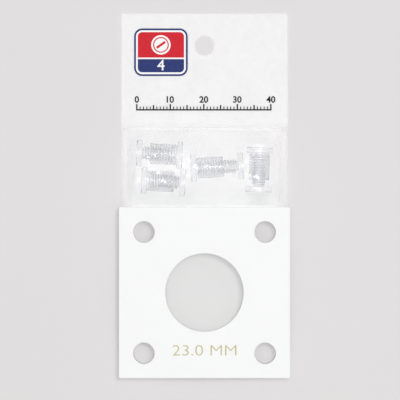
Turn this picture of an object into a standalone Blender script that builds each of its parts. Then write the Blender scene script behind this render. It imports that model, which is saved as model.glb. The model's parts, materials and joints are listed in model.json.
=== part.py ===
"""Screw-together acrylic coin holder, laid flat as a kit.

Three square plates are stacked: a clear back cover, a white centre plate with the coin opening, and
a clear front cover. A header bag lies above them with its bottom flap trapped between the back cover
and the centre plate, and four binding screws lie in the bag, each one started in its own post.

Metres, +Z up. The origin is the middle of the back cover's underside, on the coin's axis. +X is to
the right and +Y towards the bag's header, as seen from the front.
"""

import math

import bmesh
import bpy
from mathutils import Matrix

MM = 0.001

# The plates.
PLATE_SIDE = 50.8 * MM
PLATE_CORNER_RADIUS = 0.5 * MM
PLATE_CHAMFER = 0.15 * MM
COVER_THICKNESS = 3.0 * MM
CENTRE_THICKNESS = 2.4 * MM
COIN_DIAMETER = 23.0 * MM
COIN_CLEARANCE = 0.1 * MM
SCREW_HOLE_DIAMETER = 6.35 * MM
SCREW_HOLE_SPACING = 36.0 * MM

# The binding screws and their posts.
BARREL_CLEARANCE = 0.12 * MM
CLAMP_ALLOWANCE = 0.6 * MM
HEAD_DIAMETER = 7.9 * MM
HEAD_THICKNESS = 1.6 * MM
HEAD_EDGE = 0.35 * MM
SLOT_WIDTH = 1.2 * MM
SLOT_DEPTH = 0.8 * MM
THREAD_DIAMETER = 4.0 * MM
THREAD_DEPTH = 0.45 * MM
THREAD_PITCH = 0.8 * MM
THREAD_CLEARANCE = 0.2 * MM
THREAD_LEAD = 0.5 * MM
SHANK_LENGTH = 6.4 * MM
BORE_PAST_SHANK = 1.2 * MM
MOUTH_CHAMFER = 0.3 * MM

# The header bag. Its pouch is as wide and as deep as the screw sets that lie in it, and its walls.
HEADER_HEIGHT = 34.2 * MM
HEADER_THICKNESS = 0.2 * MM
HEADER_WELD = 3.0 * MM
HANG_HOLE_DIAMETER = 6.0 * MM
HANG_HOLE_DROP = 9.5 * MM
FILM_THICKNESS = 0.06 * MM
FLAP_TUCK = 3.0 * MM
SIDE_SEAL = 1.5 * MM
SIDE_WALL = 2.8 * MM
FLAP_WALL = 3.0 * MM
HEADER_WALL = 3.0 * MM

# Air between faces that rest on each other, between the two films, and around what the film covers.
REST_GAP = 0.03 * MM
SEAL_GAP = 0.09 * MM
FILM_SLACK = 0.35 * MM

# How finely round and draped shapes are divided.
SMALL_HOLE_SIDES = 32
COIN_HOLE_SIDES = 96
CORNER_STEPS = 3
SCREW_SIDES = 20
WALL_STEPS = 6
POUCH_STEPS = 4

# How the screw sets lie in the bag: the way each screw head points, in degrees anticlockwise from
# +X, and how much of its shank is still out of its post. The first two lie one above the other, the
# second set to the right by the stagger. The third and the fourth follow to their right.
HEADINGS = (177.0, -3.0, 3.0, 268.0)
EXPOSED_SHANKS = (2.4 * MM, 1.8 * MM, 4.4 * MM, 2.0 * MM)
PAIR_GAP = 0.2 * MM
PAIR_STAGGER = 1.6 * MM
THIRD_SET_GAP = 1.2 * MM
FOURTH_SET_GAP = 0.3 * MM
THIRD_SET_RISE = 0.2 * MM
FOURTH_SET_DROP = 0.8 * MM

# Sizes and places that follow from those above.
PLATE_TOP = PLATE_SIDE / 2
COIN_HOLE_DIAMETER = COIN_DIAMETER + 2 * COIN_CLEARANCE
FLAP_LEVEL = COVER_THICKNESS + REST_GAP
FLAP_THICKNESS = 2 * FILM_THICKNESS + SEAL_GAP
CENTRE_LEVEL = FLAP_LEVEL + FLAP_THICKNESS + REST_GAP
FRONT_LEVEL = CENTRE_LEVEL + CENTRE_THICKNESS + REST_GAP
STACK_HEIGHT = FRONT_LEVEL + COVER_THICKNESS
BAG_BOTTOM = PLATE_TOP - FLAP_TUCK
POUCH_FOOT = PLATE_TOP + FILM_SLACK
HEADER_LEVEL = FLAP_THICKNESS + REST_GAP
HEAD_RADIUS = HEAD_DIAMETER / 2
BARREL_RADIUS = SCREW_HOLE_DIAMETER / 2 - BARREL_CLEARANCE
BARREL_LENGTH = STACK_HEIGHT - CLAMP_ALLOWANCE
BORE_DEPTH = SHANK_LENGTH + BORE_PAST_SHANK
CREST_RADIUS = THREAD_DIAMETER / 2
ROOT_RADIUS = CREST_RADIUS - THREAD_DEPTH
MALE_THREAD_START = HEAD_THICKNESS + THREAD_LEAD
AXIS_LEVEL = FILM_THICKNESS + REST_GAP + HEAD_RADIUS
POUCH_HEIGHT = HEAD_DIAMETER + FILM_SLACK
BARREL_CHAMFER = min(MOUTH_CHAMFER, (BARREL_RADIUS - CREST_RADIUS - THREAD_CLEARANCE) / 3)


class ScrewSet:
    """One screw started in its post, lying with its axis level: its size and its place in plan."""

    def __init__(self, heading, exposed):
        self.turn = math.radians(heading)
        self.mouth_level = HEAD_THICKNESS + exposed
        self.half_length = (self.mouth_level + BARREL_LENGTH + HEAD_THICKNESS) / 2
        along = abs(math.cos(self.turn))
        across = abs(math.sin(self.turn))
        self.reach_x = self.half_length * along + HEAD_RADIUS * across
        self.reach_y = self.half_length * across + HEAD_RADIUS * along
        self.x = 0.0
        self.y = 0.0


def lay_out_sets():
    """The screw sets side by side, centred on the bag, with the lowest just past the flap's climb."""
    sets = [ScrewSet(heading, exposed) for heading, exposed in zip(HEADINGS, EXPOSED_SHANKS)]
    upper, lower, third, fourth = sets
    pitch = HEAD_DIAMETER + PAIR_GAP
    lean = lower.turn
    lower.x = PAIR_STAGGER * math.cos(lean) + pitch * math.sin(lean)
    lower.y = PAIR_STAGGER * math.sin(lean) - pitch * math.cos(lean)
    third.x = lower.x + lower.reach_x + THIRD_SET_GAP + third.reach_x
    third.y = (upper.y + lower.y) / 2 + THIRD_SET_RISE
    fourth.x = third.x + third.reach_x + FOURTH_SET_GAP + fourth.reach_x
    fourth.y = third.y - FOURTH_SET_DROP
    left = min(one.x - one.reach_x for one in sets)
    right = max(one.x + one.reach_x for one in sets)
    bottom = min(one.y - one.reach_y for one in sets)
    for one in sets:
        one.x -= (left + right) / 2
        one.y += POUCH_FOOT + FLAP_WALL - bottom
    return sets


SCREW_SETS = lay_out_sets()
SETS_WIDTH = 2 * max(one.x + one.reach_x for one in SCREW_SETS)
SETS_TOP = max(one.y + one.reach_y for one in SCREW_SETS)
BAG_WIDTH = SETS_WIDTH + 2 * (SIDE_WALL + SIDE_SEAL)
POUCH_END = SETS_TOP + HEADER_WALL
HEADER_FOOT = POUCH_END + FILM_SLACK
FILM_TOP = HEADER_FOOT + HEADER_WELD
BAG_TOP = HEADER_FOOT + HEADER_HEIGHT


def clear_scene():
    for obj in list(bpy.data.objects):
        bpy.data.objects.remove(obj)


def plastic(name, colour, roughness, transmission=0.0, alpha=1.0):
    made = bpy.data.materials.new(name)
    made.use_nodes = True
    shader = made.node_tree.nodes["Principled BSDF"]
    shader.inputs["Base Color"].default_value = (*colour, 1.0)
    shader.inputs["Roughness"].default_value = roughness
    shader.inputs["Metallic"].default_value = 0.0
    shader.inputs["Transmission Weight"].default_value = transmission
    shader.inputs["Alpha"].default_value = alpha
    return made


def add_object(name, data, finish):
    data.materials.append(finish)
    obj = bpy.data.objects.new(name, data)
    bpy.context.scene.collection.objects.link(obj)
    return obj


def circle(radius, sides, centre=(0.0, 0.0)):
    """Points of a circle, anticlockwise."""
    turns = [2 * math.pi * i / sides for i in range(sides)]
    return [(centre[0] + radius * math.cos(a), centre[1] + radius * math.sin(a)) for a in turns]


def rounded_rectangle(width, height, radius, centre=(0.0, 0.0)):
    """Points of a rectangle with round corners, anticlockwise from its lower right corner."""
    points = []
    for quarter in range(4):
        side_x = 1 if quarter in (0, 1) else -1
        side_y = 1 if quarter in (1, 2) else -1
        middle_x = centre[0] + side_x * (width / 2 - radius)
        middle_y = centre[1] + side_y * (height / 2 - radius)
        for step in range(CORNER_STEPS + 1):
            angle = math.pi / 2 * (quarter - 1 + step / CORNER_STEPS)
            points.append((middle_x + radius * math.cos(angle), middle_y + radius * math.sin(angle)))
    return points


def flat_plate(name, loops, thickness, chamfer, level, finish):
    """A plate standing on level: the first loop is its outline and the others are holes through it."""
    curve = bpy.data.curves.new(name, "CURVE")
    curve.dimensions = "2D"
    curve.fill_mode = "BOTH"
    curve.extrude = thickness / 2 - chamfer
    curve.bevel_depth = chamfer
    curve.bevel_resolution = 0
    curve.offset = -chamfer
    for loop in loops:
        spline = curve.splines.new("POLY")
        spline.points.add(len(loop) - 1)
        spline.use_cyclic_u = True
        for point, (x, y) in zip(spline.points, loop):
            point.co = (x, y, 0.0, 1.0)
    obj = add_object(name, curve, finish)
    obj.location = (0.0, 0.0, level + thickness / 2)
    return obj


def screw_hole_loops():
    reach = SCREW_HOLE_SPACING / 2
    corners = [(x, y) for x in (-reach, reach) for y in (-reach, reach)]
    return [circle(SCREW_HOLE_DIAMETER / 2, SMALL_HOLE_SIDES, corner) for corner in corners]


def build_plates(clear, white):
    outline = rounded_rectangle(PLATE_SIDE, PLATE_SIDE, PLATE_CORNER_RADIUS)
    coin_hole = circle(COIN_HOLE_DIAMETER / 2, COIN_HOLE_SIDES)
    cover_loops = [outline, *screw_hole_loops()]
    centre_loops = [*cover_loops, coin_hole]
    flat_plate("back_cover", cover_loops, COVER_THICKNESS, PLATE_CHAMFER, 0.0, clear)
    flat_plate("centre_plate", centre_loops, CENTRE_THICKNESS, PLATE_CHAMFER, CENTRE_LEVEL, white)
    flat_plate("front_cover", cover_loops, COVER_THICKNESS, PLATE_CHAMFER, FRONT_LEVEL, clear)


def ring(mesh, radius, level):
    return [mesh.verts.new((x, y, level)) for x, y in circle(radius, SCREW_SIDES)]


def bridge(mesh, lower, upper):
    for i in range(SCREW_SIDES):
        j = (i + 1) % SCREW_SIDES
        mesh.faces.new((lower[i], lower[j], upper[j], upper[i]))


def cap(mesh, loop, level):
    middle = mesh.verts.new((0.0, 0.0, level))
    for i in range(SCREW_SIDES):
        mesh.faces.new((loop[i], loop[(i + 1) % SCREW_SIDES], middle))


def turned_rings(mesh, profile):
    """Rings joined in the order given, each a (radius, level) pair. Returns the first and the last."""
    rings = [ring(mesh, radius, level) for radius, level in profile]
    for lower, upper in zip(rings, rings[1:]):
        bridge(mesh, lower, upper)
    return rings[0], rings[-1]


def thread(mesh, below, above, base_radius, ridge_radius, start, turns):
    """A right-handed V thread between two plain rings of base_radius, with a blunt end at each ring.

    Row 0 is the first base line. Odd rows run along the ridge, and each row climbs one pitch in a
    full turn, so the end of a row is the start of the row two above it.
    """
    last = 2 * turns
    rows = {}
    for row in range(last + 3):
        radius = ridge_radius if row % 2 else base_radius
        sides = SCREW_SIDES if row <= last else 1
        for i, (x, y) in enumerate(circle(radius, SCREW_SIDES)[:sides]):
            level = start + THREAD_PITCH * (row / 2 + i / SCREW_SIDES)
            rows[row, i] = mesh.verts.new((x, y, level))

    def at(row, i):
        return rows[row, i] if i < SCREW_SIDES else rows[row + 2, 0]

    for row in range(last):
        for i in range(SCREW_SIDES):
            mesh.faces.new((at(row, i), at(row, i + 1), at(row + 1, i + 1), at(row + 1, i)))
    seam = SCREW_SIDES - 1
    for i in range(seam):
        mesh.faces.new((below[i], below[i + 1], at(0, i + 1), at(0, i)))
        mesh.faces.new((at(last, i + 1), at(last, i + 2), above[(i + 2) % SCREW_SIDES], above[i + 1]))
    mesh.faces.new((below[seam], below[0], at(0, 0), at(2, 0), at(0, seam)))
    mesh.faces.new((at(0, 0), at(1, 0), at(2, 0)))
    mesh.faces.new((at(last, 0), at(last, 1), above[1], above[0], at(last + 2, 0)))
    mesh.faces.new((at(last, 0), at(last + 1, 0), at(last + 2, 0)))


def turned_object(name, mesh, finish, holder):
    bmesh.ops.recalc_face_normals(mesh, faces=mesh.faces)
    data = bpy.data.meshes.new(name)
    mesh.to_mesh(data)
    mesh.free()
    data.shade_smooth()
    data.set_sharp_from_angle(angle=math.radians(35))
    obj = add_object(name, data, finish)
    obj.parent = holder
    return obj


def slot_cutter(name, holder):
    """A bar across the outer face of a screw head, kept out of renders."""
    mesh = bmesh.new()
    size = Matrix.Diagonal((2 * HEAD_DIAMETER, SLOT_WIDTH, 2 * SLOT_DEPTH, 1.0))
    bmesh.ops.create_cube(mesh, size=1.0, matrix=size)
    data = bpy.data.meshes.new(name)
    mesh.to_mesh(data)
    mesh.free()
    cutter = bpy.data.objects.new(name, data)
    bpy.context.scene.collection.objects.link(cutter)
    cutter.parent = holder
    cutter.hide_render = True
    cutter.display_type = "WIRE"
    return cutter


def build_screw(name, holder, finish):
    """A slotted screw along its holder's Z axis, with its head's outer face at the holder's origin."""
    turns = math.floor((SHANK_LENGTH - 2 * THREAD_LEAD) / THREAD_PITCH) - 1
    tip = HEAD_THICKNESS + SHANK_LENGTH
    mesh = bmesh.new()
    head_profile = [
        (HEAD_RADIUS - HEAD_EDGE, 0.0),
        (HEAD_RADIUS, HEAD_EDGE),
        (HEAD_RADIUS, HEAD_THICKNESS),
        (ROOT_RADIUS, HEAD_THICKNESS),
        (ROOT_RADIUS, MALE_THREAD_START - THREAD_LEAD / 2),
    ]
    face, neck = turned_rings(mesh, head_profile)
    tip_start = MALE_THREAD_START + (turns + 1) * THREAD_PITCH + THREAD_LEAD / 4
    shoulder, end = turned_rings(mesh, [(ROOT_RADIUS, tip_start), (ROOT_RADIUS - HEAD_EDGE, tip)])
    thread(mesh, neck, shoulder, ROOT_RADIUS, CREST_RADIUS, MALE_THREAD_START, turns)
    cap(mesh, face, 0.0)
    cap(mesh, end, tip)
    screw = turned_object(name, mesh, finish, holder)
    cut = screw.modifiers.new("driver_slot", "BOOLEAN")
    cut.operation = "DIFFERENCE"
    cut.object = slot_cutter(name + "_slot_cutter", holder)
    return screw


def build_post(name, holder, mouth_level, finish):
    """A threaded post along its holder's Z axis, with its mouth at its own origin and its head beyond.

    Its thread starts where the ridge of the screw's thread meets the groove between two turns of it.
    """
    groove_radius = CREST_RADIUS + THREAD_CLEARANCE
    ridge_radius = ROOT_RADIUS + THREAD_CLEARANCE
    screw_ridge = MALE_THREAD_START + THREAD_PITCH / 2 - mouth_level
    start = THREAD_LEAD + (screw_ridge - THREAD_LEAD) % THREAD_PITCH
    turns = math.floor((BORE_DEPTH - start - THREAD_LEAD) / THREAD_PITCH) - 1
    end = BARREL_LENGTH + HEAD_THICKNESS
    mesh = bmesh.new()
    outside = [
        (groove_radius, BARREL_CHAMFER),
        (groove_radius + BARREL_CHAMFER, 0.0),
        (BARREL_RADIUS - BARREL_CHAMFER, 0.0),
        (BARREL_RADIUS, BARREL_CHAMFER),
        (BARREL_RADIUS, BARREL_LENGTH),
        (HEAD_RADIUS, BARREL_LENGTH),
        (HEAD_RADIUS, end - HEAD_EDGE),
        (HEAD_RADIUS - HEAD_EDGE, end),
    ]
    mouth, face = turned_rings(mesh, outside)
    bore_end = ring(mesh, groove_radius, BORE_DEPTH)
    thread(mesh, mouth, bore_end, groove_radius, ridge_radius, start, turns)
    cap(mesh, face, end)
    cap(mesh, bore_end, BORE_DEPTH)
    post = turned_object(name, mesh, finish, holder)
    post.location = (0.0, 0.0, mouth_level)
    return post


def build_screw_sets(clear):
    """Each set lies on its two heads, its axis level, on an empty at the screw head's outer face."""
    for number, one in enumerate(SCREW_SETS, start=1):
        holder = bpy.data.objects.new(f"screw_set_{number}", None)
        bpy.context.scene.collection.objects.link(holder)
        head_x = one.x + math.cos(one.turn) * one.half_length
        head_y = one.y + math.sin(one.turn) * one.half_length
        holder.location = (head_x, head_y, AXIS_LEVEL)
        holder.rotation_euler = (0.0, math.radians(-90), one.turn)
        build_screw(f"screw_{number}", holder, clear)
        build_post(f"post_{number}", holder, one.mouth_level, clear)


def ease(share):
    """A smooth step from 0 to 1."""
    share = min(max(share, 0.0), 1.0)
    return share * share * (3 - 2 * share)


def spaced(breaks, steps):
    """Places along one way across the film: each span between two breaks, in equal steps."""
    places = [breaks[0]]
    for low, high, count in zip(breaks, breaks[1:], steps):
        places += [low + (high - low) * i / count for i in range(1, count + 1)]
    return places


def film_columns():
    edge = BAG_WIDTH / 2
    seal = edge - SIDE_SEAL
    wall = seal - SIDE_WALL
    return spaced((-edge, -seal, -wall, wall, seal, edge), (1, WALL_STEPS, POUCH_STEPS, WALL_STEPS, 1))


def film_rows():
    low_wall = POUCH_FOOT + FLAP_WALL
    high_wall = POUCH_END - HEADER_WALL
    breaks = (BAG_BOTTOM, POUCH_FOOT, low_wall, high_wall, POUCH_END, FILM_TOP)
    return spaced(breaks, (1, WALL_STEPS, POUCH_STEPS, WALL_STEPS, 1))


def flap_climb(y):
    """How far the film has climbed from the table to the flap between the plates."""
    return FLAP_LEVEL * ease((POUCH_FOOT + FLAP_WALL - y) / FLAP_WALL)


def pouch_lift(x, y):
    """How far the front film stands off the back film: none at the seals, the screws' height between."""
    side = ease((BAG_WIDTH / 2 - SIDE_SEAL - abs(x)) / SIDE_WALL)
    bottom = ease((y - POUCH_FOOT) / FLAP_WALL)
    top = ease((POUCH_END - y) / HEADER_WALL)
    return POUCH_HEIGHT * side * bottom * top


def film(name, columns, height, finish):
    """One face of the bag: a sheet over the pouch whose underside is at height(x, y)."""
    mesh = bmesh.new()
    rows = []
    for y in film_rows():
        rows.append([mesh.verts.new((x, y, height(x, y))) for x in columns])
    for lower, upper in zip(rows, rows[1:]):
        for i in range(len(columns) - 1):
            mesh.faces.new((lower[i], lower[i + 1], upper[i + 1], upper[i]))
    data = bpy.data.meshes.new(name)
    mesh.to_mesh(data)
    mesh.free()
    data.shade_smooth()
    sheet = add_object(name, data, finish)
    skin = sheet.modifiers.new("film_thickness", "SOLIDIFY")
    skin.thickness = FILM_THICKNESS
    skin.offset = 1.0
    return sheet


def back_underside(x, y):
    return flap_climb(y)


def front_underside(x, y):
    return FILM_THICKNESS + SEAL_GAP + flap_climb(y) + pouch_lift(x, y)


def build_bag(film_finish, header_finish):
    film("bag_back_film", (-BAG_WIDTH / 2, BAG_WIDTH / 2), back_underside, film_finish)
    film("bag_front_film", film_columns(), front_underside, film_finish)
    middle = (0.0, BAG_TOP - HEADER_HEIGHT / 2)
    outline = rounded_rectangle(BAG_WIDTH, HEADER_HEIGHT, PLATE_CORNER_RADIUS, middle)
    hang_hole = circle(HANG_HOLE_DIAMETER / 2, SMALL_HOLE_SIDES, (0.0, BAG_TOP - HANG_HOLE_DROP))
    chamfer = HEADER_THICKNESS / 10
    flat_plate("bag_header", [outline, hang_hole], HEADER_THICKNESS, chamfer, HEADER_LEVEL, header_finish)


def main():
    clear_scene()
    clear_acrylic = plastic("clear_acrylic", (0.97, 0.98, 0.98), 0.05, transmission=1.0)
    white_acrylic = plastic("white_acrylic", (0.93, 0.93, 0.92), 0.2)
    bag_film = plastic("bag_film", (0.93, 0.94, 0.94), 0.25, alpha=0.4)
    header_film = plastic("header_film", (0.94, 0.94, 0.95), 0.3, alpha=0.7)
    build_plates(clear_acrylic, white_acrylic)
    build_screw_sets(clear_acrylic)
    build_bag(bag_film, header_film)


main()
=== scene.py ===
"""Looks of the screw-together acrylic coin holder, built round its packed construction.

Metres, +Z up, in the construction's own frame: the origin is the middle of the back cover's
underside, +X is to the right and +Y towards the bag's header. The holder lies flat and the camera
looks straight down on it.
"""

import json
import math
from collections import namedtuple

import bmesh
import bpy
import numpy as np
from mathutils import Matrix, Vector
from mathutils.geometry import delaunay_2d_cdt

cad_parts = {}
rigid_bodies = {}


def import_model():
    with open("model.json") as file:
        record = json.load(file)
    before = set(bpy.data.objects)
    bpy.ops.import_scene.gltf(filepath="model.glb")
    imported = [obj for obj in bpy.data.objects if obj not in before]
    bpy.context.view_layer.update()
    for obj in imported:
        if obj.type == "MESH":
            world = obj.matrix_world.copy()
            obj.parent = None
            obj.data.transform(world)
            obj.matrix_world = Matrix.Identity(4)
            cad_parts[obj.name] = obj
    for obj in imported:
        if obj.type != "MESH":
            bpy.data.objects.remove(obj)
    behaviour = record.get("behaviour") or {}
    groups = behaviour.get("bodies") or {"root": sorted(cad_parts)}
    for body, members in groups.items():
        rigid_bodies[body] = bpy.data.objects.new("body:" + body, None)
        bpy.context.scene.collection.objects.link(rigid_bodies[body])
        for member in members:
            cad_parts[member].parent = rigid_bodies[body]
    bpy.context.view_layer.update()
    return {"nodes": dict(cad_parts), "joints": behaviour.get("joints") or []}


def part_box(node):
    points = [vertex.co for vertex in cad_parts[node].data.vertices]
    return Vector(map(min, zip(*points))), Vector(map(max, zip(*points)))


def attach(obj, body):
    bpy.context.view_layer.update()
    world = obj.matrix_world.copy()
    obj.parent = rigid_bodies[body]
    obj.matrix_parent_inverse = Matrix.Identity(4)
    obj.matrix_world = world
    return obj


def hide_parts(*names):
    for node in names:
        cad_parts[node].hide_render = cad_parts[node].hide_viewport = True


for old in list(bpy.data.objects):
    bpy.data.objects.remove(old)
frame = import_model()

MM = 0.001
WELD_DISTANCE = 0.001 * MM
LETTER_WELD_DISTANCE = 0.025 * MM
LETTER_STEPS = 6
SHEET_SHARP_ANGLE = math.radians(50)
TURNED_SHARP_ANGLE = math.radians(38)

# What the materials share.
ACRYLIC_IOR = 1.49
NOISE_ROUGHNESS = 0.55
SAW_GRAIN = 5200.0
SAW_STRETCH = (1.0, 1.0, 0.06)

# The plates.
PLATE_CORNER_RADIUS = 0.5 * MM
PLATE_EDGE_RADIUS = 0.16 * MM
PLATE_EDGE_STEPS = 2
FLAT_FACE_WEIGHT = 100
LEVEL_NORMAL = 0.5
COIN_HOLE_DIAMETER = 23.2 * MM
COIN_HOLE_SIDES = 180
SCREW_HOLE_DIAMETER = 6.35 * MM
SCREW_HOLE_SIDES = 72
SCREW_HOLE_SPACING = 36.0 * MM

# The stamped size mark on the centre plate.
MARK_TEXT = "23.0 MM"
MARK_WIDTH = 19.0 * MM
MARK_HEIGHT = 3.1 * MM
MARK_MIDDLE = (0.0, -17.2 * MM)
MARK_THICKNESS = 0.016 * MM
MARK_LIFT = 0.002 * MM
MARK_THINNING = 0.012

# The binding screws and their posts, along their own axis from the outer face of the screw head.
HEAD_THICKNESS = 1.6 * MM
HEAD_EDGE = 0.4 * MM
HEAD_BACK_EDGE = 0.15 * MM
NECK_FILLET = 0.2 * MM
SLOT_WIDTH = 1.2 * MM
SLOT_DEPTH = 0.8 * MM
SLOT_BAR_LENGTH = 20 * MM
CREST_RADIUS = 2.0 * MM
THREAD_DEPTH = 0.45 * MM
THREAD_PITCH = 0.8 * MM
THREAD_CLEARANCE = 0.2 * MM
THREAD_FADE = 0.6 * MM
THREAD_INSET = 0.05 * MM
THREAD_SWING = 0.75
TIP_EDGE = 0.35 * MM
BARREL_CLEARANCE = 0.12 * MM
BORE_DEPTH = 7.6 * MM
BORE_RUN_OUT = 0.4 * MM
BORE_BOTTOM = ((0.0, 0.5), (0.05 * MM, 0.9), (0.25 * MM, 1.0))
MOUTH_CHAMFER = 0.28 * MM
MOUTH_EDGE = 0.15 * MM
TURNED_SIDES = 56
RINGS_PER_PITCH = 12

# The bag's films.
FILM_THICKNESS = 0.06 * MM
FILM_CELL = 0.22 * MM
SEAL_GAP = 0.09 * MM
SIDE_SEAL = 1.5 * MM
SEAL_RIB_PITCH = 0.9 * MM
SEAL_RIB_HEIGHT = 0.04 * MM
SEAL_RIB_INSET = 0.2 * MM
SEAL_RIB_FADE = 3.0 * MM
SEAM_BEND = 0.6
FILM_SLACK = 0.35 * MM
FILM_CLEARANCE = 0.2 * MM
FLOOR_CLEARANCE = 0.02 * MM
FRONT_SLACK = 0.1 * MM
FRONT_SAG = 0.0004 * MM
FRONT_ROUNDS = 2500
FRONT_START_WIDTH = 3 * MM
FRONT_SLACK_WIDTH = 2.2 * MM
FRONT_SEAL_WIDTH = 0.8 * MM
FRONT_SMOOTHING = 12
BACK_SAG = 0.0005 * MM
BACK_ROUNDS = 900

# The films' ripples, and the pull lines that fan out from the screws' heads.
Ripples = namedtuple("Ripples", "height seed wavelength count")
FINE_RIPPLES = Ripples(0.05 * MM, 5, 3.4 * MM, 9)
LOOSE_RIPPLES = Ripples(0.11 * MM, 11, 7.5 * MM, 7)
CRUMPLES = Ripples(0.1 * MM, 31, 2.6 * MM, 9)
CRUMPLE_REACH = 1.5 * MM
CRUMPLE_SMOOTHING = 60
RIPPLE_STRETCH = (0.7, 1.5)
FAN_SEED = 23
FAN_INSET = 0.8 * MM
FAN_COUNTS = (9, 15)
FAN_TURN = 6.28
FAN_SWAY = 1.6
FAN_HEIGHT = 0.26 * MM
FAN_DEPTH = 1.6
FAN_SHARPNESS = 0.8
FAN_START = 3.2 * MM
FAN_GROWTH = 2.2 * MM
FAN_END = 5 * MM
FAN_FADE = 3.2 * MM

# The films' look: how their haze and gloss vary, and fade towards the seams and the welded end.
FILM_SHADE = 0.985
HAZE_SPREAD = (0.92, 1.08)
ROUGHNESS_SPREAD = (0.9, 1.15)
SLANT_BLEND = 0.35
COAT_WEIGHT = (0.35, 0.45)
COAT_IOR = 2.4
COAT_ROUGHNESS = 0.1
COAT_FADE = (-4 * MM, -1 * MM)
SEAM_FADE = 3.5 * MM
SEAM_HAZE = 0.18
WELD_FADE = (-1 * MM, 0.7 * MM)
WELD_HAZE = 0.1

# The bag's header.
HANG_HOLE_DIAMETER = 6.0 * MM
HANG_HOLE_SIDES = 64
HANG_HOLE_DROP = 9.5 * MM
HEADER_THICKNESS = 0.2 * MM
HEADER_CORNER = 0.5 * MM
HEADER_CORNER_STEPS = 4
HEADER_REST = 0.04 * MM
HEADER_SETTLE = 7.0 * MM
HEADER_CELL = 0.9 * MM
HEADER_WAVES = Ripples(0.09 * MM, 47, 17 * MM, 6)
HEADER_CURL = 0.5 * MM
HEADER_CURL_LENGTH = 11 * MM
HEADER_CURL_POWER = 4
FOOT_FADE = 2.1 * MM
FOOT_HAZE = 0.36
BORDER_SPACE = 0.35
MERGE_DISTANCE = 1e-9

# The print on the header.
INK_LIFT = 0.008 * MM
INK_THICKNESS = 0.008 * MM
INK_CELL = 1.0 * MM
BADGE_MIDDLE = (-13.0 * MM, 71.6 * MM)
BADGE_WIDTH = 16.0 * MM
BADGE_HEIGHT = 14.2 * MM
BADGE_CORNER = 2.4 * MM
BADGE_BORDER = 0.55 * MM
BADGE_BAND = 4.4 * MM
BADGE_BAND_GAP = 0.45 * MM
BADGE_NUMBER = "4"
BADGE_NUMBER_HEIGHT = 3.2 * MM
BADGE_NUMBER_THINNING = -0.008
BADGE_NUMBER_LIFT = 0.004 * MM
SIGN_RADII = (2.9 * MM, 2.35 * MM, 2.0 * MM)
SIGN_SIDES = 48
SIGN_SLOT_LENGTH = 3.1 * MM
SIGN_SLOT_WIDTH = 0.72 * MM
SIGN_SLOT_TURN = math.radians(35)
SCALE_START = (-20.2 * MM, 54.2 * MM)
SCALE_LENGTH = 40
SCALE_LINE = 0.42 * MM
SCALE_THIN_LINE = 0.28 * MM
TEN_TICK = 1.5 * MM
FIVE_TICK = 1.2 * MM
ONE_TICK = 0.8 * MM
SCALE_NUMBER_HEIGHT = 2.0 * MM
SCALE_NUMBER_RISE = 3.3 * MM
SCALE_NUMBER_THINNING = -0.025

# The camera and the light.
VIEW_WIDTH = 119.4 * MM
VIEW_MIDDLE = (-1.34 * MM, 27.5 * MM)
LENS = 500.0
SENSOR = 36.0
FLOOR_DROP = 0.05 * MM
FLOOR_SIDE = 12.0
KEY_LEVEL = 0.2
KEY_HEIGHT = 1.2
KEY_LEAN = (0.18, 0.12)
KEY_SIZE = 0.24
OVERHEAD_LEVEL = 0.435
OVERHEAD_HEIGHT = 3.0
OVERHEAD_LEAN = (0.0, 0.0)
OVERHEAD_SIZE = 0.2
BELOW_LEVEL = 0.6
BELOW_END = -0.2
HORIZON_LEVEL = 0.1
SKY_LEVEL = 0.35
SKY_START = 0.4
ZENITH_LEVEL = 0.94
ZENITH_START = 0.85
MAX_BOUNCES = 24
MAX_CLEAR_BOUNCES = 64


# Plain helpers.
def link(obj):
    bpy.context.scene.collection.objects.link(obj)
    return obj


def ease(share):
    """A smooth step from 0 to 1, on numbers or arrays."""
    share = np.clip(share, 0.0, 1.0)
    return share * share * (3 - 2 * share)


def circle(radius, sides, centre=(0.0, 0.0)):
    turns = [2 * math.pi * i / sides for i in range(sides)]
    return [(centre[0] + radius * math.cos(a), centre[1] + radius * math.sin(a)) for a in turns]


def rounded_rectangle(width, height, radius, centre=(0.0, 0.0), steps=8):
    """A loop with four round corners, from its lower right corner on."""
    points = []
    for quarter in range(4):
        side_x = 1 if quarter in (0, 1) else -1
        side_y = 1 if quarter in (1, 2) else -1
        middle_x = centre[0] + side_x * (width / 2 - radius)
        middle_y = centre[1] + side_y * (height / 2 - radius)
        for step in range(steps + 1):
            angle = math.pi / 2 * (quarter - 1 + step / steps)
            points.append((middle_x + radius * math.cos(angle), middle_y + radius * math.sin(angle)))
    return points


def settle(obj):
    """Replace an object's data by its evaluated mesh, so that no modifier is left on it."""
    bpy.context.view_layer.update()
    graph = bpy.context.evaluated_depsgraph_get()
    made = bpy.data.meshes.new_from_object(obj.evaluated_get(graph))
    made.name = obj.name
    name = obj.name
    place = obj.matrix_world.copy()
    bpy.data.objects.remove(obj)
    fresh = link(bpy.data.objects.new(name, made))
    fresh.matrix_world = place
    return fresh


def mesh_object(name, points, faces, finish):
    data = bpy.data.meshes.new(name)
    data.from_pydata([tuple(p) for p in points], [], faces)
    data.materials.append(finish)
    return link(bpy.data.objects.new(name, data))


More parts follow.
